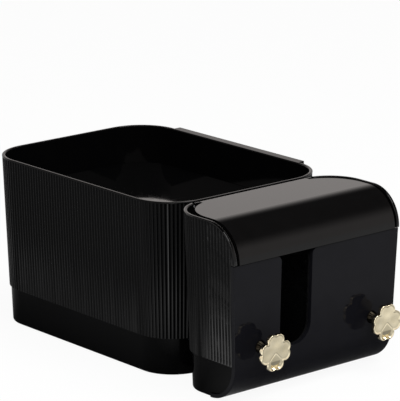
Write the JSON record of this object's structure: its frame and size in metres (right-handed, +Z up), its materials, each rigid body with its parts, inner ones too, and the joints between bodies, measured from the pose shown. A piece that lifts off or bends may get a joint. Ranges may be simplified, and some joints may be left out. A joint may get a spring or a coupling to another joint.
{
  "type": "brush holder with drawer",
  "caption": "Fluted black desk organiser: an open brush tub behind a case with a curved hinged lid and a deep drawer with a U-shaped slot and clover knobs.",
  "frame": {"origin": "middle of the whole footprint's box, on the table", "axes": "+X to the right seen from the drawer's front, +Y to the back, +Z up"},
  "size_m": [0.165, 0.3056, 0.132],
  "materials": {
    "tub_plastic": "glossy black moulded plastic, fluted",
    "deck_plastic": "glossy black moulded plastic",
    "case_plastic": "glossy black moulded plastic, fluted",
    "lid_plastic": "polished black plastic",
    "front_plastic": "polished black plastic",
    "tray_plastic": "satin black moulded plastic",
    "gold_metal": "polished pale gold plating",
    "steel_fixing": "plain steel",
    "foot_pad": "matt black rubber",
    "glide_film": "low-friction strip"
  },
  "bodies": {
    "root": {"tub_shell": "tub_plastic", "raised_floor": "deck_plastic", "tub_feet": "foot_pad", "front_case": "case_plastic", "case_feet": "foot_pad", "link_screws": "steel_fixing", "link_pads": "foot_pad", "link_nuts": "steel_fixing", "lid_hinge_pin_left": "steel_fixing", "lid_hinge_pin_right": "steel_fixing", "lid_bumpers": "foot_pad", "drawer_glides": "glide_film"},
    "drawer": {"drawer_front": "front_plastic", "drawer_tray": "tray_plastic", "pad_divider_left": "tray_plastic", "pad_divider_right": "tray_plastic", "knob_left": "gold_metal", "knob_right": "gold_metal", "knob_screws": "steel_fixing", "knob_washers": "steel_fixing"},
    "lid": {"lid": "lid_plastic"}
  },
  "joints": [
    {"name": "drawer_slide", "type": "slide", "parent": "root", "child": "drawer", "axis": [0, -1, 0], "range_m": [0, 0.035]},
    {"name": "lid_hinge", "type": "hinge", "parent": "root", "child": "lid", "pos_m": [-0.00251, -0.06869, 0.1293], "axis": [-1, 0, 0], "range_deg": [0, 95]}
  ]
}
